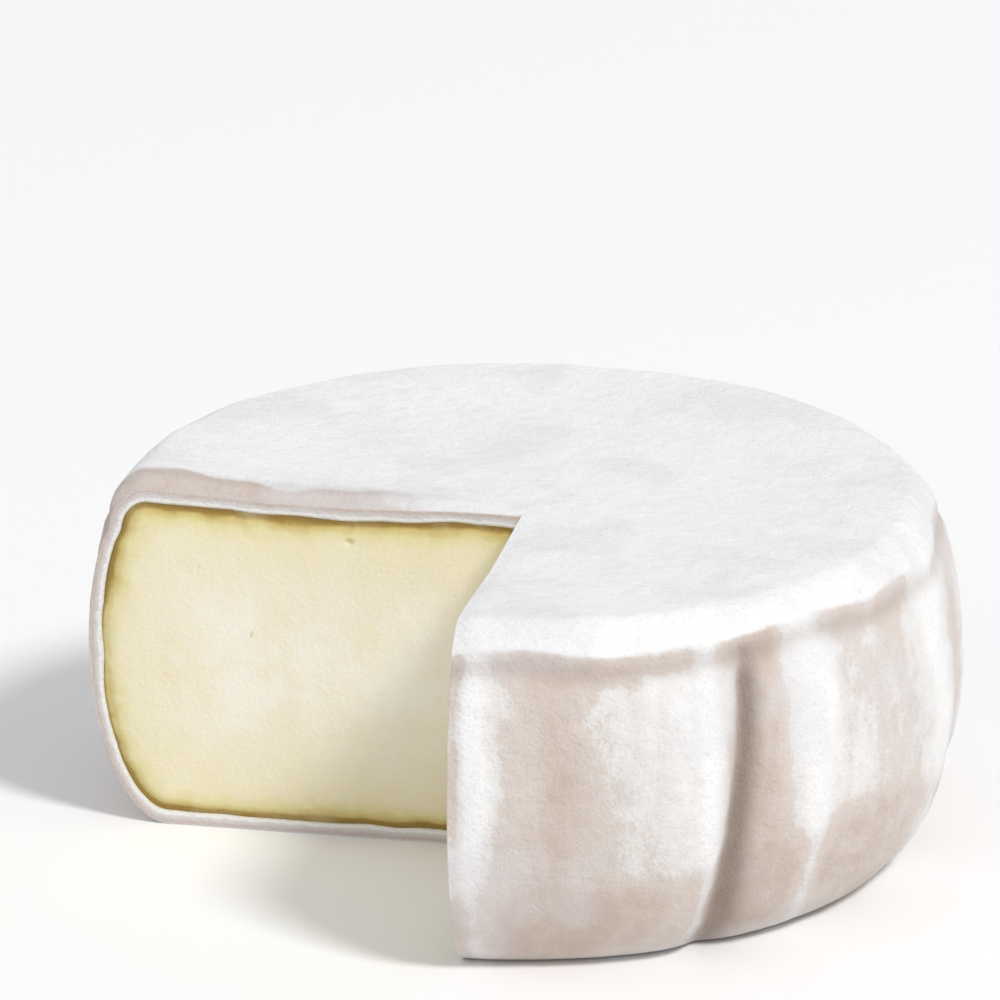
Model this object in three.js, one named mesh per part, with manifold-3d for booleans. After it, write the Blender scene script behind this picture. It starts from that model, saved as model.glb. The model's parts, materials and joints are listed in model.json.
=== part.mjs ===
// A small white-mould cheese wheel with one large piece cut out of it.
// The wheel is a low drum with a bellied side, a soft shoulder and foot, and a crease down the front of its side.
// It is two layers: the rind that has grown all over it, and the paste inside, which shows on the two cut faces.
// Millimetres, +Z up. The wheel stands on Z = 0 round the Z axis, and the cut opens towards -X -Y.
import * as THREE from "three";
import { mergeVertices } from "three/addons/utils/BufferGeometryUtils.js";
import Module from "manifold-3d";

// The drum.
const WHEEL_RADIUS = 62.5; // at the belly, the widest ring of the side
const WHEEL_HEIGHT = 51; // in the middle of the top
const BELLY_HEIGHT = 26.5; // how high the widest ring is
const SHOULDER_REACH = 8.5; // how far in from the belly the top starts to turn down
const FOOT_REACH = 11.5; // how far in from the belly the wheel lifts off its flat underside
const CORNER_FULLNESS = 0.55; // of the shoulder and the foot: 0 is a chamfer and 1 is square

// How the soft wheel has settled.
const FLAT_RADIUS = 30; // the middle of the top, which is level
const RIM_RISE = 0.8; // how much higher the top is at its rim
const LOBE_RISE = 0.4; // how much higher again beside the first cut
const LOBE_ANGLE = 178; // degrees from +X
const LOBE_SPREAD = 50; // degrees either way
const CREASE_ANGLE = 309; // degrees from +X, at half height
const CREASE_SLANT = 4; // degrees that it turns from the foot to the shoulder
const CREASE_DEPTH = 2;
const CREASE_WIDTH = 5; // from its middle to where it is a third as deep

// The layers.
const RIND = 2; // the rind's thickness
const LAYER_GAP = 0.3; // between the rind's inside and the paste

// The piece cut out: two upright cuts at a right angle, which meet at the apex, short of the wheel's middle.
const APEX_X = 1.5;
const APEX_Y = -8.9;
const CUTTER_OVERRUN = 10; // how far the cutter reaches past the wheel

// Facets.
const TURN_STEPS = 72;
const CURVE_STEPS = 7;
const TOP_STEPS = 3;

const RIND_COLOUR = 0xe9e2dc;
const PASTE_COLOUR = 0xf1e9c6;

const wasm = await Module();
wasm.setup();

// A rounded corner of the drum's outline, between a level edge and the upright belly.
function corner(edgeRadius, edgeHeight, belly) {
  const { lerp } = THREE.MathUtils;
  return new THREE.CubicBezierCurve(
    new THREE.Vector2(edgeRadius, edgeHeight),
    new THREE.Vector2(lerp(edgeRadius, belly, CORNER_FULLNESS), edgeHeight),
    new THREE.Vector2(belly, lerp(BELLY_HEIGHT, edgeHeight, CORNER_FULLNESS)),
    new THREE.Vector2(belly, BELLY_HEIGHT),
  ).getPoints(CURVE_STEPS);
}

// The drum's outline from the axis at the foot to the axis at the top, set in from its surface by inset.
function outline(inset) {
  const belly = WHEEL_RADIUS - inset;
  const top = WHEEL_HEIGHT - inset;
  const topRadius = WHEEL_RADIUS - SHOULDER_REACH;
  const foot = corner(WHEEL_RADIUS - FOOT_REACH, inset, belly);
  const shoulder = corner(topRadius, top, belly).reverse();
  const points = [new THREE.Vector2(0, inset), ...foot, ...shoulder.slice(1)];
  for (let i = 1; i <= TOP_STEPS; i++) {
    points.push(new THREE.Vector2(THREE.MathUtils.lerp(topRadius, FLAT_RADIUS, i / TOP_STEPS), top));
  }
  points.push(new THREE.Vector2(0, top));
  return points;
}

// Moves a point of the round drum to where it lies once the wheel has settled.
function settle(point) {
  const radius = Math.hypot(point.x, point.y);
  const angle = THREE.MathUtils.radToDeg(Math.atan2(point.y, point.x));
  const height = point.z / WHEEL_HEIGHT;
  const turnFrom = (direction) => THREE.MathUtils.euclideanModulo(angle - direction + 180, 360) - 180;

  const lobe = Math.exp(-((turnFrom(LOBE_ANGLE) / LOBE_SPREAD) ** 2));
  const towardsRim = THREE.MathUtils.smoothstep(radius, FLAT_RADIUS, WHEEL_RADIUS - SHOULDER_REACH);
  const rise = (RIM_RISE + LOBE_RISE * lobe) * towardsRim * height;

  const middle = CREASE_ANGLE + CREASE_SLANT * (height - 0.5);
  const beside = THREE.MathUtils.degToRad(turnFrom(middle)) * WHEEL_RADIUS;
  const depth = CREASE_DEPTH * Math.exp(-((beside / CREASE_WIDTH) ** 2)) * towardsRim;

  const scale = radius > depth ? (radius - depth) / radius : 1;
  return point.set(point.x * scale, point.y * scale, point.z + rise);
}

// A closed geometry as a solid that can be cut.
function solidOf(geometry) {
  geometry.deleteAttribute("normal");
  geometry.deleteAttribute("uv");
  const merged = mergeVertices(geometry, 1e-4);
  return new wasm.Manifold(
    new wasm.Mesh({
      numProp: 3,
      vertProperties: new Float32Array(merged.attributes.position.array),
      triVerts: new Uint32Array(merged.index.array),
    }),
  );
}

function geometryOf(solid) {
  const mesh = solid.getMesh();
  const geometry = new THREE.BufferGeometry();
  geometry.setAttribute("position", new THREE.BufferAttribute(mesh.vertProperties, 3));
  geometry.setIndex(new THREE.BufferAttribute(mesh.triVerts, 1));
  geometry.computeVertexNormals();
  return geometry;
}

// The whole settled wheel, set in from its surface by inset.
function drum(inset) {
  const geometry = new THREE.LatheGeometry(outline(inset), TURN_STEPS).rotateX(Math.PI / 2);
  const places = geometry.getAttribute("position");
  const point = new THREE.Vector3();
  for (let i = 0; i < places.count; i++) {
    settle(point.fromBufferAttribute(places, i));
    places.setXYZ(i, point.x, point.y, point.z);
  }
  return solidOf(geometry);
}

// What the two cuts take away: all of the wheel that lies on the -X -Y side of the apex.
function cutOut() {
  const reach = 2 * WHEEL_RADIUS + CUTTER_OVERRUN;
  const height = WHEEL_HEIGHT + RIM_RISE + LOBE_RISE + 2 * CUTTER_OVERRUN;
  const block = new THREE.BoxGeometry(reach, reach, height);
  block.translate(APEX_X - reach / 2, APEX_Y - reach / 2, height / 2 - CUTTER_OVERRUN);
  return solidOf(block);
}

function layer(name, solid, color, roughness) {
  const material = new THREE.MeshStandardMaterial({ color, roughness, metalness: 0 });
  const mesh = new THREE.Mesh(geometryOf(solid), material);
  mesh.name = name;
  return mesh;
}

const cut = cutOut();
const rind = drum(0).subtract(drum(RIND)).subtract(cut);
const paste = drum(RIND + LAYER_GAP).subtract(cut);

const wheel = new THREE.Group();
wheel.add(layer("rind", rind, RIND_COLOUR, 0.9));
wheel.add(layer("paste", paste, PASTE_COLOUR, 0.5));

export default wheel;
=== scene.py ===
import json
import math

import bmesh
import bpy
import numpy as np
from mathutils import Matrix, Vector, noise


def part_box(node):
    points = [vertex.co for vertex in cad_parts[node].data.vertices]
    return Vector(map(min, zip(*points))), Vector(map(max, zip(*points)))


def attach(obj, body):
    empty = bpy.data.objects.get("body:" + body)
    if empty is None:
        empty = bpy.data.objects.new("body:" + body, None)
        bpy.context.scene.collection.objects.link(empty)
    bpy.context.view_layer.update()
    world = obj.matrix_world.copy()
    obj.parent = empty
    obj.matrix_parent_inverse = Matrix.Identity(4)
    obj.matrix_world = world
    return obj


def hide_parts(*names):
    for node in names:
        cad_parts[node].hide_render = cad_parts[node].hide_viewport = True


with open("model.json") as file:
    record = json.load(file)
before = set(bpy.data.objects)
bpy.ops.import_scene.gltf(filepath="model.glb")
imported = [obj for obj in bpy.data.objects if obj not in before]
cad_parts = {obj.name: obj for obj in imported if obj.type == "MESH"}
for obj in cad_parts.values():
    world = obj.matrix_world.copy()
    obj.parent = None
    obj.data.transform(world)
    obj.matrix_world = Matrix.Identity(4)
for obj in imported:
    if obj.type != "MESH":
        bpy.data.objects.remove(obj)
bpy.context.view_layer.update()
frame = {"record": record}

# The camera: a long lens, a little above the wheel and to the right of the cut, so that it looks into the
# cut and almost straight at its first face. It is level, and sharp all over.
CAMERA_TURN = math.radians(11.3)
CAMERA_RISE = math.radians(19.5)
CAMERA_DISTANCE = 1.766
LENS_MM = 445.5
NEAREST_SEEN, FARTHEST_SEEN = 0.1, 50
AIM_HEIGHT = 0.0465
AIM_RIGHT, AIM_UP = -0.0034, 0.0032  # from the wheel's axis at that height

camera = bpy.data.objects.new("camera", bpy.data.cameras.new("camera"))
bpy.context.scene.collection.objects.link(camera)
bpy.context.scene.camera = camera
camera.data.lens = LENS_MM
camera.data.clip_start = NEAREST_SEEN
camera.data.clip_end = FARTHEST_SEEN
to_camera = Vector(
    (
        math.sin(CAMERA_TURN) * math.cos(CAMERA_RISE),
        -math.cos(CAMERA_TURN) * math.cos(CAMERA_RISE),
        math.sin(CAMERA_RISE),
    )
)
camera_right = Vector((math.cos(CAMERA_TURN), math.sin(CAMERA_TURN), 0))
camera_up = to_camera.cross(camera_right)
aim = Vector((0, 0, AIM_HEIGHT)) + camera_right * AIM_RIGHT + camera_up * AIM_UP
camera.location = aim + to_camera * CAMERA_DISTANCE
camera.rotation_mode = "QUATERNION"
camera.rotation_quaternion = (-to_camera).to_track_quat("-Z", "Y")


# The table and the light: a plain pale floor in a white room, lit by one broad soft lamp from the right and
# a weak one from the left front, so that the shadow falls softly to the left.
def linear(colour):
    """An sRGB colour, written as six hex digits, as linear red, green, blue and alpha."""
    parts = [int(colour[i : i + 2], 16) / 255 for i in (0, 2, 4)]
    return [p / 12.92 if p <= 0.04045 else ((p + 0.055) / 1.055) ** 2.4 for p in parts] + [1.0]


def add(tree, kind, values=None, stops=(), **settings):
    """Adds a node to a tree and returns it. values maps an input to a number, or to the output or the node
    that feeds it; stops are a colour ramp's places and sRGB colours; settings are its own properties."""
    made = tree.nodes.new(kind)
    for name, value in settings.items():
        setattr(made, name, value)
    for name, value in (values or {}).items():
        if isinstance(value, bpy.types.Node):
            value = value.outputs[0]
        if isinstance(value, bpy.types.NodeSocket):
            tree.links.new(value, made.inputs[name])
        else:
            made.inputs[name].default_value = value
    if stops:
        places = made.color_ramp.elements
        while len(places) < len(stops):
            places.new(0.5)
        for place, (at, colour) in zip(places, stops):
            place.position = at
            place.color = linear(colour)
    return made


def new_material(name):
    """An empty material and its tree."""
    made = bpy.data.materials.new(name)
    made.use_nodes = True
    made.node_tree.nodes.clear()
    return made, made.node_tree


FLOOR_HALF = 6.0
floor_mesh = bpy.data.meshes.new("floor")
corners = [(x * FLOOR_HALF, y * FLOOR_HALF, 0) for x, y in ((-1, -1), (1, -1), (1, 1), (-1, 1))]
floor_mesh.from_pydata(corners, [], [(0, 1, 2, 3)])
floor = bpy.data.objects.new("floor", floor_mesh)
bpy.context.scene.collection.objects.link(floor)

# Matt paper: an even, almost pure white without gloss, on which only the wheel's shadow shows.
paper, tree = new_material("matt white paper")
coat = add(tree, "ShaderNodeBsdfPrincipled", {"Base Color": linear("faf9f8"), "Roughness": 0.9})
add(tree, "ShaderNodeOutputMaterial", {"Surface": coat})
floor_mesh.materials.append(paper)

LAMPS = [  # name, degrees from +X, degrees up, metres away, metres across, watts
    ("key", -33, 50, 6.0, 1.3, 205.0),
    ("fill", -125, 30, 2.6, 2.0, 4.0),
]
for name, turn, rise, away, across, watts in LAMPS:
    lamp = bpy.data.lights.new(name, "AREA")
    lamp.shape = "DISK"
    lamp.size = across
    lamp.energy = watts
    holder = bpy.data.objects.new(name, lamp)
    bpy.context.scene.collection.objects.link(holder)
    turn = math.radians(turn)
    rise = math.radians(rise)
    towards = Vector((math.cos(turn) * math.cos(rise), math.sin(turn) * math.cos(rise), math.sin(rise)))
    holder.location = towards * away
    holder.rotation_mode = "QUATERNION"
    holder.rotation_quaternion = (-towards).to_track_quat("-Z", "Y")

ROOM_COLOUR, ROOM_STRENGTH = "f7f9fc", 0.60
world = bpy.data.worlds.new("white room")
bpy.context.scene.world = world
world.use_nodes = True
world.node_tree.nodes["Background"].inputs["Color"].default_value = linear(ROOM_COLOUR)
world.node_tree.nodes["Background"].inputs["Strength"].default_value = ROOM_STRENGTH
bpy.context.scene.view_settings.view_transform = "Standard"

# The rind: the skin of white mould that grows all over the wheel while it ripens, about 2 mm thick. It is
# soft, so it has slumped into flutes and one deep crease down the side, and it rolls over at the edges of
# the cut. Lengths are in metres and directions in degrees from +X, here and in the paste.
RIND_THICKNESS = 0.002
SHOULDER_REACH, FOOT_REACH = 0.0085, 0.0115  # how far in from the belly the level top and underside end
BELLY_HEIGHT = 0.0265
CORNER_FULLNESS = 0.55
FLAT_RADIUS = 0.030  # the middle of the top, which is level
RIM_RISE, LOBE_RISE = 0.0008, 0.0004  # how much higher the top is at its rim, and again at the lobe
LOBE_TURN, LOBE_SPREAD = 178, 50
CUT_CLEARANCE = 0.0003  # between the stated opening and the cut faces

SIDE = 0.046, 0.060  # radii between which a point comes to belong to the side
UPPER = 0.024, 0.044  # heights between which a point comes to belong to the top
FRONT_TURN, FRONT_SPREAD = -60, 50  # the part of the side that faces the camera

# The flutes of the side and the hollows between them: direction, spread, how far each stands out, and how
# much darker than the rest its felt is coloured, which is partly wear and partly painted light on the proud
# flutes and painted shade in the hollows.
FLUTES = [
    (-86, 2.6, 0.0004, -0.45),
    (-75, 6.0, -0.0005, 0.45),
    (-60, 6.5, 0.0008, -0.10),
    (-54, 1.5, 0.0003, -0.40),
    (-45, 3.6, -0.0002, 0.45),
    (-37, 2.4, 0.0006, -0.45),
    (-25, 7.0, 0.0004, 0.05),
    (-8, 5.0, 0.0006, -0.40),
    (5, 4.0, -0.0004, 0.25),
    (17, 7.0, 0.0006, -0.15),
    (33, 3.0, -0.0003, 0.20),
    (47, 10.0, 0.0005, -0.05),
    (69, 5.0, -0.0005, 0.30),
    (84, 6.0, 0.0006, -0.30),
    (97, 9.0, -0.0003, 0.10),
    (118, 5.0, 0.0005, -0.10),
    (131, 3.0, -0.0004, 0.30),
    (149, 9.0, 0.0006, -0.20),
    (171, 5.0, -0.0002, 0.15),
]
FLUTE_ENDS, FLUTE_FULLNESS = (0.02, 0.98), 0.6  # shares of the height, and how evenly they stand between
FLUTE_WANDER, FLUTE_STEADIER = 3.6, 3.3  # how far the flutes wander sideways, and how much less in front
WANDER_WAVES = ((150, 0.11, 1.0), (310, -0.07, 0.6))  # radians a metre up and a degree round, and strength

# The crease: a hollow with a narrow core, and the fold that it pushes up beside it.
CREASE_TURN, CREASE_LEAN = -51, 3.0  # at its foot, and how far its top leans over
CREASE_LEANS = 0.006, 0.048  # heights between which it does
CREASE_DEPTH, CREASE_WIDTH = 0.0019, 0.0022
CREASE_FOOT_SPREAD = 1.1  # how much wider it is at the foot, as a share of its width
CREASE_ENDS, CREASE_LEFT = (0.040, 0.048), 0.2  # heights between which it runs out, and the share left
CORE_DEPTH, CORE_SHARE = 0.0008, 0.4  # of the core, whose width is that share of the crease's
PUSHED_FAR, PUSHED_BESIDE, PUSHED_WIDTH = 0.0006, 0.0075, 0.005  # of the fold beside it

# The rim: a low ridge round the shoulder with a groove under it, which both rise and fall on the way round.
RIM_HEIGHT = 0.0477
RIM_WAVES = ((7, 0.0003), (17, 0.0003))  # how many there are in a turn, and how high
RIM_FAR, RIM_FRONT_FAR, RIM_WIDTH = 0.0003, 0.0007, 0.0016
RIM_RADII = 0.052, 0.0575  # radii between which it begins
GROOVE_DEPTH, GROOVE_BELOW, GROOVE_WIDTH = 0.0003, 0.0030, 0.0012

# The lips: how the top rolls over towards the two cuts.
ROLL_RISE, ROLL_WIDTH = 0.0009, 0.0022
DIP_FALL, DIP_BEHIND, DIP_WIDTH = 0.0005, 0.0060, 0.0028  # the hollow behind the first cut's roll
SECOND_RISE, SECOND_WIDTH = 0.0005, 0.0016
ROLL_FROM_APEX = 0.002, 0.026  # distances from the apex between which the rolls begin
SWAY_FAR, SWAY_ALONG_X, SWAY_ALONG_Y, SWAY_START = 0.00025, 120, 95, 1  # all over the top, in slow waves

# The painted shade in the folds, from 0 to 1: in the crease, with a line beside its middle, the groove and
# the dip.
CREASE_DARK, GROOVE_DARK, DIP_DARK = 0.2, 0.3, 0.3
LINE_DARK, LINE_FOOT_DARK = 0.8, 0.4  # all along, and as much more at the foot
LINE_BESIDE, LINE_WIDTH, LINE_FOOT_WIDTH = 0.0010, 0.0014, 0.0022
DIP_DARK_BEHIND, DIP_DARK_WIDTH = 0.0040, 0.0012

# The wear of the felt with painted light and shade mixed in, from 0 to 1: what a plain stretch of the side
# has, which is partly painted shade that keeps the side darker than the top, and what is added in places.
PLAIN_WEAR_AND_SHADE = 0.42
SPARED, SPARED_TURN, SPARED_SPREAD, SPARED_HEIGHTS = 0.40, -41, 3.5, (0.020, 0.036)  # beside the crease
# under the rim: a band of painted shade below its ridge, together with wear, in patches that run together in
# front
RIM_SHADE_AND_WEAR, RIM_WEAR_BELOW, RIM_WEAR_WIDTH = 0.35, 0.0022, 0.0020
SECOND_WEAR, SECOND_WEAR_BEHIND, SECOND_WEAR_WIDTH = 0.4, 0.0010, 0.0014  # along the second cut
FOOT_WEAR, FOOT_PATCH_WEAR = 0.20, 0.25
FOOT_TOP, FOOT_PATCH_TOP, FOOT_RIGHT_TOP = 0.009, 0.004, 0.006  # how high it is worn, and more in places
FOOT_RIGHT_TURN, FOOT_RIGHT_SPREAD, FOOT_SOFT = -25, 25, 0.003
SIDE_WEAR_FROM = -0.0002, 0.0006  # depths under the rim between which the side's wear begins
PATCHES = (5, 40), (3, 0)  # how many there are in a turn, and by how much they are turned
# along the first cut: painted shade in a strip behind the top's roll
LIP_SHADE, LIP_WIDTH, LIP_WIDER, LIP_SOFT = 0.80, 0.0044, 0.0014, 0.0010  # the strip along the first cut
LIP_WIDENS, LIP_FROM = (0.040, 0.060), (0.010, 0.026)  # radii between which it widens and begins
LIP_WAVES = ((240, 0.0006), (610, 0.0004))  # radians a metre, and how far

ON_AXIS = 1e-6  # a point this near the axis isn't moved sideways

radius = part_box("rind")[1].x
height = next(m["pos_m"][2] for m in frame["record"]["mounts"] if m["name"] == "top")
opening = frame["record"]["physics"]["openings"][0]["box_m"]
apex = np.array(opening[1][:2]) + CUT_CLEARANCE


def bell(distance, width):
    """1 at no distance, about a third at width, and fading to 0 beyond."""
    return np.exp(-((distance / width) ** 2))


def ramp(value, low, high):
    """0 below low, 1 above high and smooth between."""
    t = np.clip((value - low) / (high - low), 0, 1)
    return t * t * (3 - 2 * t)


def bezier(a, b, c, d, steps):
    """Points along a cubic curve."""
    t = np.linspace(0, 1, steps + 1)[:, None]
    a, b, c, d = (np.array(p) for p in (a, b, c, d))
    return (1 - t) ** 3 * a + 3 * (1 - t) ** 2 * t * b + 3 * (1 - t) * t**2 * c + t**3 * d


def side_outline(inset, steps):
    """The side from the foot's edge up to the top's edge, as radii and heights, set in by inset."""
    belly = radius - inset

    def corner(edge, level):
        along = edge + (belly - edge) * CORNER_FULLNESS
        up = BELLY_HEIGHT + (level - BELLY_HEIGHT) * CORNER_FULLNESS
        return bezier((edge, level), (along, level), (belly, up), (belly, BELLY_HEIGHT), steps)

    foot = corner(radius - FOOT_REACH, inset)
    shoulder = corner(radius - SHOULDER_REACH, height - inset)
    return np.concatenate([foot, shoulder[::-1][1:]])


def sections(inset, turns, foot_steps, side_steps, top_steps):
    """Upright sections of the true drum, one for each direction from the apex of the cut. Each goes out
    along the underside, up the side and back over the top."""
    side = side_outline(inset, side_steps)
    ways = np.stack([np.cos(turns), np.sin(turns)], -1)
    nearer = (ways @ apex)[:, None]
    reach = np.sqrt(nearer**2 - apex @ apex + side[:, 0] ** 2) - nearer
    under = reach[:, :1] * np.linspace(0, 1, foot_steps, endpoint=False)
    over = reach[:, -1:] * np.linspace(1, 0, top_steps + 1)[1:]
    out = np.concatenate([under, reach, over], 1)
    levels = np.concatenate([np.full(foot_steps, inset), side[:, 1], np.full(top_steps, height - inset)])
    flat = apex + out[..., None] * ways[:, None]
    return np.concatenate([flat, np.broadcast_to(levels, out.shape)[..., None]], -1)


def past_cuts(places):
    """How far points are behind the first and the second cut face, or 1 where they aren't behind it."""
    x, y = places[..., 0], places[..., 1]
    return np.where(x < apex[0], y - apex[1], 1.0), np.where(y < apex[1], x - apex[0], 1.0)


def settle(places):
    """Moves points of the true drum to where they lie in the soft wheel. Also returns the painted shade of
    the folds at each point, and how worn its felt is with painted light and shade mixed in: the side and foot
    are handled and the side is also painted darker than the top as shade, proud flutes are painted whitest as
    lit and the hollows between them darker as shaded, and a strip behind the first cut's roll is painted
    shade."""
    x, y, z = np.moveaxis(places, -1, 0)
    out = np.hypot(x, y)
    turn = np.degrees(np.arctan2(y, x))
    level = np.clip(z / height, 0, 1)

    def off(direction):
        return (turn - direction + 180) % 360 - 180

    to_rim = ramp(out, FLAT_RADIUS, radius - SHOULDER_REACH)
    at_side = ramp(out, *SIDE)
    upper = ramp(z, *UPPER)
    front = bell(off(FRONT_TURN), FRONT_SPREAD)
    near_foot = (1 - level) ** 3

    # the crease
    beside = np.radians(off(CREASE_TURN + CREASE_LEAN * ramp(z, *CREASE_LEANS))) * radius
    crease_width = CREASE_WIDTH * (1 + CREASE_FOOT_SPREAD * near_foot)
    goes_on = 1 - ramp(z, *CREASE_ENDS)
    crease = bell(beside, crease_width) * at_side * (CREASE_LEFT + (1 - CREASE_LEFT) * goes_on)
    core = bell(beside, CORE_SHARE * crease_width) * at_side * goes_on
    pushed = bell(beside - PUSHED_BESIDE, PUSHED_WIDTH) * at_side * np.sin(np.pi * level)

    # the flutes, which are steadier in front
    wander = FLUTE_WANDER - FLUTE_STEADIER * np.sqrt(front)
    sideways = wander * sum(strong * np.sin(z * up + turn * along) for up, along, strong in WANDER_WAVES)
    proud = sum(far * bell(off(way + sideways), wide) for way, wide, far, _ in FLUTES) * at_side
    flutes = proud * np.sin(np.pi * np.clip(level, *FLUTE_ENDS)) ** FLUTE_FULLNESS

    # the rim and its groove
    edge = RIM_HEIGHT + sum(high * np.sin(np.radians(turn * many)) for many, high in RIM_WAVES)
    rim = (RIM_FAR + RIM_FRONT_FAR * front) * bell(z - edge, RIM_WIDTH) * ramp(out, *RIM_RADII)
    groove = bell(z - edge + GROOVE_BELOW, GROOVE_WIDTH) * at_side

    # the lips at the cuts, and a slow sway all over the top
    past_first, past_second = past_cuts(places)
    from_apex = ramp(np.hypot(x - apex[0], y - apex[1]), *ROLL_FROM_APEX)
    roll = ROLL_RISE * bell(past_first, ROLL_WIDTH) - DIP_FALL * bell(past_first - DIP_BEHIND, DIP_WIDTH)
    roll = roll + SECOND_RISE * bell(past_second, SECOND_WIDTH)
    sway = SWAY_FAR * np.sin(x * SWAY_ALONG_X + SWAY_START) * np.sin(y * SWAY_ALONG_Y)

    rise = (RIM_RISE + LOBE_RISE * bell(off(LOBE_TURN), LOBE_SPREAD)) * to_rim * level
    rise = rise + (sway - roll * from_apex) * upper
    outwards = flutes + PUSHED_FAR * pushed + rim
    outwards = outwards - GROOVE_DEPTH * groove - CREASE_DEPTH * crease - CORE_DEPTH * core
    share = np.where(out > ON_AXIS, (out + outwards) / np.maximum(out, ON_AXIS), 1)
    moved = np.stack([x * share, y * share, z + rise], -1)

    # the painted shade in the folds: the crease, a darker line beside its middle that is darkest at the foot,
    # the groove and the dip
    line = bell(beside - LINE_BESIDE, LINE_WIDTH + LINE_FOOT_WIDTH * near_foot) * at_side * goes_on
    line = line * (LINE_DARK + LINE_FOOT_DARK * near_foot)
    dip = bell(past_first - DIP_DARK_BEHIND, DIP_DARK_WIDTH) * upper * from_apex
    fold = np.clip(CREASE_DARK * crease + line + GROOVE_DARK * groove + DIP_DARK * dip, 0, 1)

    # the wear of the side, with painted light and shade in it: by flutes, painted lighter on the proud ones
    # and darker in the hollows, less high up beside the crease, more along the second cut, and in patches
    # under the rim, with painted shade below its ridge, and at the foot, which run together in front
    wear = PLAIN_WEAR_AND_SHADE + sum(more * bell(off(way + sideways), wide) for way, wide, _, more in FLUTES)
    wear -= SPARED * bell(off(SPARED_TURN), SPARED_SPREAD) * ramp(z, *SPARED_HEIGHTS)
    wear += SECOND_WEAR * bell(past_second - SECOND_WEAR_BEHIND, SECOND_WEAR_WIDTH)
    small_patches, wide_patches = (np.sin(np.radians(turn * many + by)) for many, by in PATCHES)
    patchy = (1 + small_patches * wide_patches) / 2
    patchy = patchy + (1 - patchy) * front
    wear += RIM_SHADE_AND_WEAR * patchy * bell(edge - z - RIM_WEAR_BELOW, RIM_WEAR_WIDTH)
    foot_top = FOOT_TOP + FOOT_PATCH_TOP * patchy
    foot_top = foot_top + FOOT_RIGHT_TOP * bell(off(FOOT_RIGHT_TURN), FOOT_RIGHT_SPREAD)
    wear += (FOOT_WEAR + FOOT_PATCH_WEAR * patchy) * ramp(foot_top - z, -FOOT_SOFT, FOOT_SOFT)
    wear = wear * ramp(edge - z, *SIDE_WEAR_FROM) * at_side

    # the top is darkened only along the first cut's roll, in a strip with a wavy edge: painted shade behind
    # the roll
    wavy = sum(far * np.sin(x * along) for along, far in LIP_WAVES)
    lip_width = LIP_WIDTH + LIP_WIDER * ramp(out, *LIP_WIDENS) + wavy
    wear += LIP_SHADE * ramp(lip_width - past_first, 0, LIP_SOFT) * ramp(out, *LIP_FROM) * upper
    return moved, fold, np.clip(wear, 0, 1)


SQUARENESS = 6  # how sharply the way out of the drum turns at its shoulder and foot


def uneven(places, size, far):
    """Pushes points of the true drum in and out by up to far, in swells of about that size."""
    x, y, z = np.moveaxis(places, -1, 0)
    level = 2 * z / height - 1
    sideways = np.hypot(x, y) ** SQUARENESS
    upwards = np.sign(level) * (np.abs(level) * radius) ** (SQUARENESS + 1)
    towards = np.stack([x * sideways, y * sideways, upwards], -1)
    towards = towards / np.linalg.norm(towards, axis=-1, keepdims=True)
    swell = [noise.noise(Vector(p) / size) for p in places.reshape(-1, 3)]
    return places + towards * (far * np.array(swell).reshape(places.shape[:-1]))[..., None]


def grid_faces(index):
    """Quads over a grid of vertex numbers, wound so that they face along (first axis) x (second axis)."""
    a, b, c, d = index[:-1, :-1], index[1:, :-1], index[1:, 1:], index[:-1, 1:]
    return np.stack([a, b, c, d], -1).reshape(-1, 4)


MERGE_WITHIN, SHORTEST_EDGE = 1e-6, 1e-7  # points nearer than that are one, and shorter edges go


def new_piece(name, points, faces, marks):
    """A closed mesh object from points and quads, with doubled points merged. marks are numbers on points."""
    mesh = bpy.data.meshes.new(name)
    mesh.from_pydata([tuple(p) for p in points], [], [tuple(f) for f in faces])
    for mark, values in marks.items():
        mesh.attributes.new(mark, "FLOAT", "POINT").data.foreach_set("value", values.astype(np.float32))
    body = bmesh.new()
    body.from_mesh(mesh)
    bmesh.ops.remove_doubles(body, verts=body.verts, dist=MERGE_WITHIN)
    bmesh.ops.dissolve_degenerate(body, edges=body.edges, dist=SHORTEST_EDGE)
    bmesh.ops.recalc_face_normals(body, faces=body.faces)
    body.to_mesh(mesh)
    body.free()
    mesh.shade_smooth()
    piece = bpy.data.objects.new(name, mesh)
    bpy.context.scene.collection.objects.link(piece)
    return piece


FIRST_TURN, LAST_TURN = -90, 180  # the two cuts, seen from the apex
NEAR_CUT = np.array([0.0, 0.15, 0.4, 0.75, 1.2])  # degrees from each cut, where the sections are close
EVEN_FROM_CUT, EVEN_TURNS = 1.8, 410  # from so far on they are even, and so many
even_turns = np.linspace(FIRST_TURN + EVEN_FROM_CUT, LAST_TURN - EVEN_FROM_CUT, EVEN_TURNS)
TURNS = np.radians(np.concatenate([FIRST_TURN + NEAR_CUT, even_turns, LAST_TURN - NEAR_CUT[::-1]]))

# The hidden surfaces have one section for so many of the outside's, but all of them near the crease.
INNER_SKIP, CREASE_REACH = 6, 0.15  # the reach is in radians
crease_turn = math.radians(CREASE_TURN)
crease_foot = radius * np.array([math.cos(crease_turn), math.sin(crease_turn)])
crease_way = math.atan2(*(crease_foot - apex)[::-1])
near_crease = np.abs(TURNS - crease_way) < CREASE_REACH
kept = (np.arange(len(TURNS)) % INNER_SKIP == 0) | near_crease
kept[-1] = True
HIDDEN_TURNS = TURNS[kept]

FOOT_STEPS, SIDE_STEPS, TOP_STEPS = 14, 42, 56  # along a section, where the side takes them twice
BAND_STEPS = 6  # across the rind's thickness on the cut
BAND_PROUD, BAND_RAGGED, RAGGED_SIZE = 0.00006, 0.00016, 0.0011  # how the cut band stands out of the cut
BAND_SEED = 7  # of its raggedness
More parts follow.
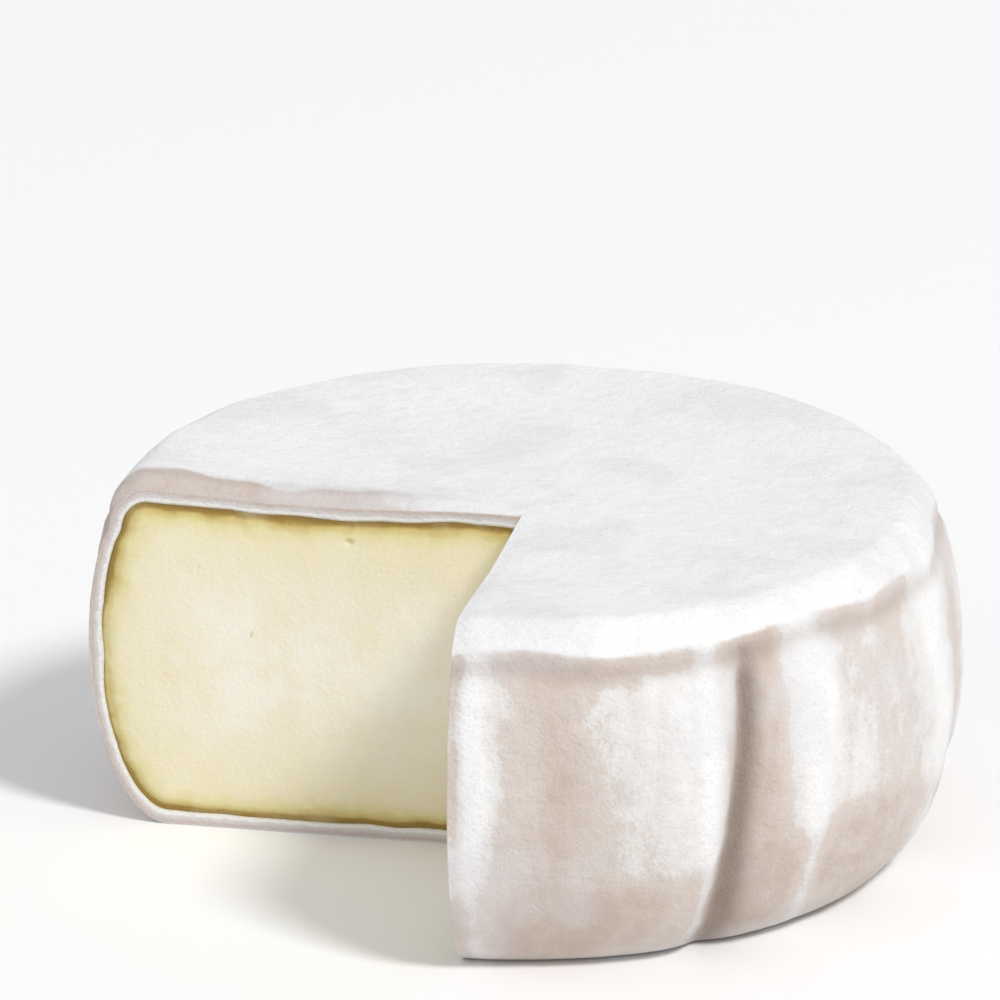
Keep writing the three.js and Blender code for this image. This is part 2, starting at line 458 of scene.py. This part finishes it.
# the band across the cut takes a share of the outside's wear and painted shade at its edge
BAND_WEAR = 0.6  # of the wear at its edge
LOOSE_FROM_CUT = 0.0002, 0.0016  # distances from the cut between which the skin may wrinkle
LOOSE_FROM_TABLE = 0, 0.002  # and heights
UNEVEN_SIZE, UNEVEN_FAR = 0.0055, 0.0004  # how the rind's thickness varies


def rind_surface():
    """The rind's points, quads and marks: its outside, its hidden inside and the band that each cut shows."""
    true_outer = sections(0, TURNS, FOOT_STEPS, SIDE_STEPS, TOP_STEPS)
    true_inner = sections(RIND_THICKNESS, HIDDEN_TURNS, FOOT_STEPS, SIDE_STEPS, TOP_STEPS)
    outer, fold, wear = settle(true_outer)
    inner = settle(uneven(true_inner, UNEVEN_SIZE, UNEVEN_FAR))[0]
    columns = outer.shape[1]
    outer_count, inner_count = outer.size // 3, inner.size // 3
    loose = ramp(np.minimum(*past_cuts(true_outer)), *LOOSE_FROM_CUT)
    loose = loose * ramp(true_outer[..., 2], *LOOSE_FROM_TABLE)
    inside = np.zeros(inner_count)
    points = [outer.reshape(-1, 3), inner.reshape(-1, 3)]
    # the first two marks are the painted shade of the folds, and the felt's wear with painted light and shade
    # mixed in
    marks = {
        "fold": [fold.ravel(), inside],
        "wear": [wear.ravel(), inside],
        "loose": [loose.ravel(), inside],
        "depth": [np.zeros(outer_count), inside + 1],
    }
    outer_index = np.arange(outer_count).reshape(-1, columns)
    inner_index = outer_count + np.arange(inner_count).reshape(-1, columns)
    faces = [grid_faces(outer_index), grid_faces(inner_index[:, ::-1])]
    count = outer_count + inner_count
    for end, out_of_cut in ((0, (-1, 0, 0)), (-1, (0, -1, 0))):
        rows = [outer_index[end]]
        for step in range(1, BAND_STEPS):
            share = step / BAND_STEPS
            row = outer[end] * (1 - share) + inner[end] * share
            seed = Vector((BAND_SEED, share, 0))
            ragged = np.array([noise.noise(Vector(p) / RAGGED_SIZE + seed) for p in row])
            from_ends = ramp(np.hypot(row[:, 0] - apex[0], row[:, 1] - apex[1]), 0, RIND_THICKNESS)
            proud = (BAND_PROUD + BAND_RAGGED * ragged) * math.sin(math.pi * share) * from_ends
            points.append(row + proud[:, None] * np.array(out_of_cut))
            marks["wear"].append(BAND_WEAR * wear[end])
            for name, value in (("fold", 0), ("loose", 0), ("depth", share)):
                marks[name].append(np.full(columns, value, float))
            rows.append(count + np.arange(columns))
            count += columns
        rows.append(inner_index[end])
        band = np.array(rows)
        faces.append(grid_faces(band if end == 0 else band[::-1]))
    marks = {name: np.concatenate(parts) for name, parts in marks.items()}
    return np.concatenate(points), np.concatenate(faces), marks


rind = new_piece("rind_skin", *rind_surface())


def geometry_tree(name, inputs):
    """A Geometry Nodes tree with a geometry going in and out, and the named number inputs. Returns it and
    the node that gives those."""
    tree = bpy.data.node_groups.new(name, "GeometryNodeTree")
    tree.interface.new_socket("Geometry", in_out="INPUT", socket_type="NodeSocketGeometry")
    for label, value in inputs.items():
        kind = "NodeSocketInt" if isinstance(value, int) else "NodeSocketFloat"
        tree.interface.new_socket(label, in_out="INPUT", socket_type=kind)
    tree.interface.new_socket("Geometry", in_out="OUTPUT", socket_type="NodeSocketGeometry")
    return tree, add(tree, "NodeGroupInput")


def run_geometry(piece, tree, inputs):
    """Runs a tree on a piece once, with those inputs, and leaves the result as the piece's plain mesh."""
    modifier = piece.modifiers.new(tree.name, "NODES")
    modifier.node_group = tree
    sockets = {s.name: s.identifier for s in tree.interface.items_tree if s.in_out == "INPUT"}
    for label, value in inputs.items():
        modifier[sockets[label]] = value
    evaluated = piece.evaluated_get(bpy.context.evaluated_depsgraph_get())
    made = bpy.data.meshes.new_from_object(evaluated)
    piece.modifiers.remove(modifier)
    piece.data = made
    made.name = piece.name


# The material: a felt of mould threads over a thin skin, dry and without gloss, so it is off-white with a
# soft bright edge; it wears to beige where the wheel was handled, and it is painted beige as shade in its
# folds, in the hollows between the flutes, under the rim and behind the first cut's roll, and painted whiter
# as lit on the proud flutes.
MM = 0.001
# this ramp also carries painted light and shade: its whites stand partly for lit flutes, its beiges partly
# for shade
WORN_AND_SHADED = [  # from whole felt to bare skin
    (0.0, "fcfbfa"),
    (0.15, "f8f6f4"),
    (0.46, "e9e4e0"),
    (0.52, "dfd5cd"),
    (0.80, "d9cac0"),
    (1.0, "cebcb0"),
]
ACROSS = [  # from the outside of the rind to the paste
    (0.0, "dacdc4"),
    (0.25, "d3c5bd"),
    (0.48, "dfd8d5"),
    (0.62, "e5e1e1"),
    (0.72, "faf8f4"),
    (0.9, "f8f3e9"),
    (1.0, "e4dabd"),
]
# the colour mixed in the folds is painted shade
COOL_WHITE, BETWEEN_THREADS, FOLD_SHADE_COLOUR = "e3e1e4", "bfafa5", "9a877a"
MOST_COOL, MOST_BETWEEN, MOST_FOLD_SHADE = 0.35, 0.35, 0.85  # the most of each of those that is mixed in
WEAR_SWINGS = 0.70, 0.52, 0.40  # how far the streaks, the blotches and the felt swing the wear
FRAY = 0.32  # how far the bands across the rind fray, as a share of its thickness
PEBBLE_SINK = 0.6  # how deep the joints between the pebbles are beside the felt
MIX_FACTOR, MIX_A, MIX_B, MIX_RESULT = 0, 6, 7, 2  # the sockets of a Mix node of colours
MIDDLE = 0.5  # of what a noise pattern gives

mould, tree = new_material("white mould felt, grown")
place = add(tree, "ShaderNodeTexCoord").outputs["Object"]
wear = add(tree, "ShaderNodeAttribute", attribute_name="wear").outputs["Fac"]
fold = add(tree, "ShaderNodeAttribute", attribute_name="fold").outputs["Fac"]
depth = add(tree, "ShaderNodeAttribute", attribute_name="depth").outputs["Fac"]
drawn_out = add(tree, "ShaderNodeMapping", {"Vector": place, "Scale": (1, 1, 0.35)})
streaks = add(
    tree,
    "ShaderNodeTexNoise",
    {"Vector": drawn_out, "Scale": 1 / (9 * MM), "Detail": 4, "Roughness": 0.55, "Distortion": 0.8},
)
blotches = add(
    tree,
    "ShaderNodeTexNoise",
    {"Vector": place, "Scale": 1 / (3.5 * MM), "Detail": 6, "Roughness": 0.6},
)
# the threads themselves are too fine to show, so the felt is drawn as tufts of them, 0.6 mm across
felt = add(
    tree,
    "ShaderNodeTexNoise",
    {"Vector": place, "Scale": 1 / (0.6 * MM), "Detail": 5, "Roughness": 0.65},
)

# the wear with its painted light and shade, swung up and down by the three patterns
worn_and_shaded = wear
for pattern, far in zip((streaks, blotches, felt), WEAR_SWINGS):
    swing = add(tree, "ShaderNodeMath", {0: pattern, 1: MIDDLE}, operation="SUBTRACT")
    worn_and_shaded = add(tree, "ShaderNodeMath", {0: swing, 1: far, 2: worn_and_shaded}, operation="MULTIPLY_ADD")
colour = add(tree, "ShaderNodeValToRGB", {"Fac": worn_and_shaded}, stops=WORN_AND_SHADED)

# what is mixed in: a cool white in wide drifts, a darker colour where the felt is sparse, and painted shade
# in the folds
drifts = add(
    tree,
    "ShaderNodeTexNoise",
    {"Vector": place, "Scale": 1 / (16 * MM), "Detail": 3, "Roughness": 0.55},
)
cool = add(
    tree,
    "ShaderNodeMapRange",
    {"Value": drifts, "From Min": 0.5, "From Max": 0.62, "To Max": MOST_COOL},
)
sparse = add(
    tree,
    "ShaderNodeMapRange",
    {"Value": felt, "From Min": 0.45, "From Max": 0.25, "To Max": MOST_BETWEEN},
)
fold_shading = add(tree, "ShaderNodeMath", {0: fold, 1: MOST_FOLD_SHADE}, operation="MULTIPLY")
for amount, shade in ((cool, COOL_WHITE), (sparse, BETWEEN_THREADS), (fold_shading, FOLD_SHADE_COLOUR)):
    mixing = {MIX_FACTOR: amount, MIX_A: colour, MIX_B: linear(shade)}
    colour = add(tree, "ShaderNodeMix", mixing, data_type="RGBA").outputs[MIX_RESULT]

# the bands of colour across the rind, which show only on the cut
frayed = add(
    tree,
    "ShaderNodeTexNoise",
    {"Vector": place, "Scale": 1 / (1.2 * MM), "Detail": 4, "Roughness": 0.55},
)
swing = add(tree, "ShaderNodeMath", {0: frayed, 1: MIDDLE}, operation="SUBTRACT")
ragged = add(tree, "ShaderNodeMath", {0: swing, 1: FRAY, 2: depth}, operation="MULTIPLY_ADD")
across = add(tree, "ShaderNodeValToRGB", {"Fac": ragged}, stops=ACROSS)
on_cut = add(tree, "ShaderNodeMapRange", {"Value": depth, "From Min": 0.04, "From Max": 0.16})
mixing = {MIX_FACTOR: on_cut, MIX_A: colour, MIX_B: across}
colour = add(tree, "ShaderNodeMix", mixing, data_type="RGBA").outputs[MIX_RESULT]

# the relief: the felt grows in low pebbles, 1.7 mm across
pebbles = add(
    tree,
    "ShaderNodeTexVoronoi",
    {"Vector": place, "Scale": 1 / (1.7 * MM), "Smoothness": 0.8, "Randomness": 1.0},
    feature="SMOOTH_F1",
)
nap = add(tree, "ShaderNodeMath", {0: pebbles, 1: -PEBBLE_SINK, 2: felt}, operation="MULTIPLY_ADD")
bump = add(tree, "ShaderNodeBump", {"Height": nap, "Distance": 0.5 * MM, "Strength": 0.8})
skin = add(
    tree,
    "ShaderNodeBsdfPrincipled",
    {
        "Base Color": colour,
        "Roughness": 0.86,
        "IOR": 1.4,
        "Specular IOR Level": 0.25,
        "Subsurface Weight": 0.12,
        "Subsurface Radius": (1.0, 0.8, 0.6),
        "Subsurface Scale": 1.2 * MM,
        "Sheen Weight": 0.35,
        "Sheen Roughness": 0.45,
        "Normal": bump,
    },
)
add(tree, "ShaderNodeOutputMaterial", {"Surface": skin})
rind.data.materials.append(mould)

# The wrinkles: the loose skin is lifted and sunk a little everywhere, in folds and in a finer nap.
SKIN = {"Wrinkle Size": 0.009, "Wrinkle Height": 0.0004, "Nap Size": 0.0022, "Nap Height": 0.00012}
tree, given = geometry_tree("wrinkled skin", SKIN)
where = add(tree, "GeometryNodeInputPosition")
normal = add(tree, "GeometryNodeInputNormal")
loose = add(tree, "GeometryNodeInputNamedAttribute", {"Name": "loose"}, data_type="FLOAT")
lift = 0.0
for size, tall, detail in (("Wrinkle Size", "Wrinkle Height", 3), ("Nap Size", "Nap Height", 2)):
    scale = add(tree, "ShaderNodeMath", {0: 1.0, 1: given.outputs[size]}, operation="DIVIDE")
    pattern = add(
        tree,
        "ShaderNodeTexNoise",
        {"Vector": where, "Scale": scale, "Detail": detail, "Roughness": 0.5},
    )
    swing = add(tree, "ShaderNodeMath", {0: pattern, 1: MIDDLE}, operation="SUBTRACT")
    far = add(tree, "ShaderNodeMath", {0: given.outputs[tall], 1: 2.0}, operation="MULTIPLY")
    lift = add(tree, "ShaderNodeMath", {0: swing, 1: far, 2: lift}, operation="MULTIPLY_ADD")
lift = add(tree, "ShaderNodeMath", {0: lift, 1: loose}, operation="MULTIPLY")
offset = add(tree, "ShaderNodeVectorMath", {0: normal, "Scale": lift}, operation="SCALE")
moved = add(tree, "GeometryNodeSetPosition", {"Geometry": given.outputs["Geometry"], "Offset": offset})
whole = add(tree, "GeometryNodeRealizeInstances", {"Geometry": moved})
coated = add(tree, "GeometryNodeSetMaterial", {"Geometry": whole, "Material": mould})
add(tree, "NodeGroupOutput", {"Geometry": coated})
run_geometry(rind, tree, SKIN)
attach(rind, "root")
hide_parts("rind")

# The paste: ripened curd, soft and a little moist, which swells out of the cut. It is deepest in colour just
# under the rind, where it ripens first, and has a few small round eyes.
PASTE_CLEARANCE = 0.00005  # between the rind's hidden inside and the paste
PASTE_INSET = RIND_THICKNESS + PASTE_CLEARANCE
PASTE_FLAT_STEPS, PASTE_SIDE_STEPS = 190, 72
HIDDEN_SKIP = 2  # its hidden outside has one section for so many of the rind's hidden ones
SWELL, SWELL_DEPTH = 0.0008, 0.003  # how far it swells, and how far in from the rind it takes to do so
SWELL_FROM_APEX = 0.012
SEAM_SINK, SEAM_DEPTH, SEAM_WIDTH = 0.00015, 0.0006, 0.0004  # the fine groove along the rind
EDGE_DEPTH = 0.0015  # how far in the cut face follows the rind's unevenness
LATE, LATE_HEIGHT, LATE_SPREAD = 0.0012, 0.022, 0.011  # how much less ripe the side is, and where


def ripe_depth(places, depth):
    """The depth under the rind at which a point seems to be, in millimetres: the side ripens last."""
    x, y, z = np.moveaxis(places, -1, 0)
    late = LATE * bell(z - LATE_HEIGHT, LATE_SPREAD) * ramp(np.hypot(x, y), *SIDE)
    return (depth + late).ravel() / MM


def paste_surface():
    """The paste's points, quads and marks: its hidden outside, and the cut faces, which meet at the apex."""
    turns = HIDDEN_TURNS[::HIDDEN_SKIP]
    drum = sections(PASTE_INSET, turns, PASTE_FLAT_STEPS, PASTE_SIDE_STEPS, PASTE_FLAT_STEPS)
    columns = drum.shape[1]
    shell = settle(uneven(drum, UNEVEN_SIZE, UNEVEN_FAR))[0]
    count = shell.size // 3
    points = [shell.reshape(-1, 3)]
    depths = [ripe_depth(drum, 0)]
    faces = [grid_faces(np.arange(count).reshape(-1, columns))]
    side_rows = slice(PASTE_FLAT_STEPS, columns - PASTE_FLAT_STEPS)
    shares = np.linspace(0, 1, PASTE_FLAT_STEPS + 1)[None, :, None]
    for end, out_of_cut in ((0, np.array([-1.0, 0, 0])), (-1, np.array([0, -1.0, 0]))):
        edge = drum[end, side_rows]
        spine = edge.copy()
        spine[:, :2] = apex
        face = spine[:, None] * (1 - shares) + edge[:, None] * shares
        gaps = face.reshape(-1, 1, 3) - drum[end][None]
        depth = np.sqrt((gaps**2).sum(-1).min(1)).reshape(face.shape[:2])
        from_apex = np.linalg.norm(face - spine[:, None], axis=-1)
        swell = SWELL * (1 - np.exp(-depth / SWELL_DEPTH)) * ramp(from_apex, 0, SWELL_FROM_APEX)
        seam = bell(depth - SEAM_DEPTH, SEAM_WIDTH) * ramp(depth, 0, SEAM_WIDTH)
        swell = swell - SEAM_SINK * seam * ramp(from_apex, 0, RIND_THICKNESS)
        depths.append(ripe_depth(face, depth))
        pushed = uneven(face, UNEVEN_SIZE, UNEVEN_FAR)
        face = face + (pushed - face) * np.exp(-depth / EDGE_DEPTH)[..., None]
        face = settle(face)[0] + swell[..., None] * out_of_cut
        points.append(face.reshape(-1, 3))
        index = count + np.arange(face.size // 3).reshape(face.shape[:2])
        faces.append(grid_faces(index if end == 0 else index[::-1]))
        count += face.size // 3
    return np.concatenate(points), np.concatenate(faces), {"depth": np.concatenate(depths)}


paste = new_piece("ripe_paste", *paste_surface())

# The material: soft ripened cheese, cut with a knife. It is moist, so it has a faint broad gloss, and light
# goes a few millimetres into it, which makes it glow cream; towards the rind it is straw and then ochre.
RIPENESS = [  # millimetres from the rind, and the colour there
    (0, "907029"),
    (0.75, "a5873f"),
    (1.25, "d2bc74"),
    (2.6, "e8dda8"),
    (4.5, "f1e8c6"),
    (8, "f3eace"),
    (14, "f5edd7"),
    (26, "faf3e4"),
]
DEEPEST = 28
YELLOWER, IN_EYES = "eee2b8", "dcc98a"
MOST_YELLOW, MOST_IN_EYES = 0.35, 0.7  # the most of each of those that is mixed in
GRAIN_RELIEF, KNIFE_RELIEF = 0.6, 0.7

curd, tree = new_material("ripened curd, knife-cut")
place = add(tree, "ShaderNodeTexCoord").outputs["Object"]
depth = add(tree, "ShaderNodeAttribute", attribute_name="depth").outputs["Fac"]
eye = add(tree, "ShaderNodeAttribute", attribute_name="eye").outputs["Fac"]

# how deep in the rind's colours reach, which wavers along it
wide = add(
    tree,
    "ShaderNodeTexNoise",
    {"Vector": place, "Scale": 1 / (9 * MM), "Detail": 4, "Roughness": 0.55},
)
narrow = add(
    tree,
    "ShaderNodeTexNoise",
    {"Vector": place, "Scale": 1 / (2.2 * MM), "Detail": 4, "Roughness": 0.55},
)
wobble = add(tree, "ShaderNodeMath", {0: narrow, 1: 0.5, 2: wide}, operation="MULTIPLY_ADD")
stretch = add(
    tree,
    "ShaderNodeMapRange",
    {"Value": wobble, "From Min": 0.45, "From Max": 1.05, "To Min": 0.6, "To Max": 1.7},
)
ripe = add(tree, "ShaderNodeMath", {0: depth, 1: stretch}, operation="MULTIPLY")
ripe = add(tree, "ShaderNodeMath", {0: ripe, 1: DEEPEST}, operation="DIVIDE")
tints = [(at / DEEPEST, shade) for at, shade in RIPENESS]
colour = add(tree, "ShaderNodeValToRGB", {"Fac": ripe}, stops=tints)

# yellower patches, and the eyes
patches = add(
    tree,
    "ShaderNodeTexNoise",
    {"Vector": place, "Scale": 1 / (7 * MM), "Detail": 5, "Roughness": 0.55},
)
yellow = add(
    tree,
    "ShaderNodeMapRange",
    {"Value": patches, "From Min": 0.5, "From Max": 0.75, "To Max": MOST_YELLOW},
)
sunk = add(tree, "ShaderNodeMapRange", {"Value": eye, "From Max": 0.5, "To Max": MOST_IN_EYES})
for amount, shade in ((yellow, YELLOWER), (sunk, IN_EYES)):
    mixing = {MIX_FACTOR: amount, MIX_A: colour, MIX_B: linear(shade)}
    colour = add(tree, "ShaderNodeMix", mixing, data_type="RGBA").outputs[MIX_RESULT]

# the relief: the curd's grain, and faint lines where the knife dragged
grain = add(
    tree,
    "ShaderNodeTexNoise",
    {"Vector": place, "Scale": 1 / (0.7 * MM), "Detail": 4, "Roughness": 0.6},
)
dragged = add(
    tree,
    "ShaderNodeMapping",
    {"Vector": place, "Rotation": (0, 0.3, 0), "Scale": (1, 1, 0.2)},
)
knife_lines = add(
    tree,
    "ShaderNodeTexNoise",
    {"Vector": dragged, "Scale": 1 / (3.5 * MM), "Detail": 2, "Roughness": 0.55},
)
relief = add(tree, "ShaderNodeMath", {0: knife_lines, 1: KNIFE_RELIEF}, operation="MULTIPLY")
relief = add(tree, "ShaderNodeMath", {0: grain, 1: GRAIN_RELIEF, 2: relief}, operation="MULTIPLY_ADD")
bump = add(tree, "ShaderNodeBump", {"Height": relief, "Distance": 0.4 * MM, "Strength": 0.7})
gloss = add(
    tree,
    "ShaderNodeMapRange",
    {"Value": grain, "From Min": 0.3, "From Max": 0.7, "To Min": 0.38, "To Max": 0.55},
)
flesh = add(
    tree,
    "ShaderNodeBsdfPrincipled",
    {
        "Base Color": colour,
        "Roughness": gloss,
        "IOR": 1.45,
        "Subsurface Weight": 0.3,
        "Subsurface Radius": (1.0, 0.75, 0.4),
        "Subsurface Scale": 3 * MM,
        "Normal": bump,
    },
)
add(tree, "ShaderNodeOutputMaterial", {"Surface": flesh})
paste.data.materials.append(curd)

# The eyes: small round holes that gas left in the curd, where the knife happened to cut through them. Each
# is part of a ball, and there are none close to the rind.
EYES = {"Eye Spacing": 0.0065, "Eye Size": 0.0007, "Seed": 4}
EYES_FROM_RIND = 1.8, 2.6  # millimetres between which they begin
EYE_VARIETY = 0.7  # under 1, more of them are near the full size
tree, given = geometry_tree("eyes in the curd", EYES)
where = add(tree, "GeometryNodeInputPosition")
normal = add(tree, "GeometryNodeInputNormal")
depth = add(tree, "GeometryNodeInputNamedAttribute", {"Name": "depth"}, data_type="FLOAT")
shifted = add(tree, "ShaderNodeVectorMath", {0: where, 1: given.outputs["Seed"]}, operation="ADD")
scale = add(tree, "ShaderNodeMath", {0: 1.0, 1: given.outputs["Eye Spacing"]}, operation="DIVIDE")
cells = add(tree, "ShaderNodeTexVoronoi", {"Vector": shifted, "Scale": scale, "Randomness": 1.0})
from_middle = add(tree, "ShaderNodeMath", {0: cells, 1: given.outputs["Eye Spacing"]}, operation="MULTIPLY")
chance = add(tree, "FunctionNodeSeparateColor", {"Color": cells.outputs["Color"]})
chance = add(tree, "ShaderNodeMath", {0: chance, 1: EYE_VARIETY}, operation="POWER")
reach = add(tree, "ShaderNodeMath", {0: chance, 1: given.outputs["Eye Size"]}, operation="MULTIPLY")
reach_squared = add(tree, "ShaderNodeMath", {0: reach, 1: reach}, operation="MULTIPLY")
distance_squared = add(tree, "ShaderNodeMath", {0: from_middle, 1: from_middle}, operation="MULTIPLY")
inside = add(tree, "ShaderNodeMath", {0: reach_squared, 1: distance_squared}, operation="SUBTRACT")
inside = add(tree, "ShaderNodeMath", {0: inside, 1: 0.0}, operation="MAXIMUM")
sunk = add(tree, "ShaderNodeMath", {0: inside}, operation="SQRT")
away = add(
    tree,
    "ShaderNodeMapRange",
    {"Value": depth, "From Min": EYES_FROM_RIND[0], "From Max": EYES_FROM_RIND[1]},
)
sunk = add(tree, "ShaderNodeMath", {0: sunk, 1: away}, operation="MULTIPLY")
inwards = add(tree, "ShaderNodeMath", {0: sunk, 1: -1.0}, operation="MULTIPLY")
offset = add(tree, "ShaderNodeVectorMath", {0: normal, "Scale": inwards}, operation="SCALE")
moved = add(tree, "GeometryNodeSetPosition", {"Geometry": given.outputs["Geometry"], "Offset": offset})
hollow = add(tree, "ShaderNodeMath", {0: sunk, 1: given.outputs["Eye Size"]}, operation="DIVIDE")
marked = add(
    tree,
    "GeometryNodeStoreNamedAttribute",
    {"Geometry": moved, "Name": "eye", "Value": hollow},
    data_type="FLOAT",
    domain="POINT",
)
whole = add(tree, "GeometryNodeRealizeInstances", {"Geometry": marked})
coated = add(tree, "GeometryNodeSetMaterial", {"Geometry": whole, "Material": curd})
add(tree, "NodeGroupOutput", {"Geometry": coated})
run_geometry(paste, tree, EYES)
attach(paste, "root")
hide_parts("paste")
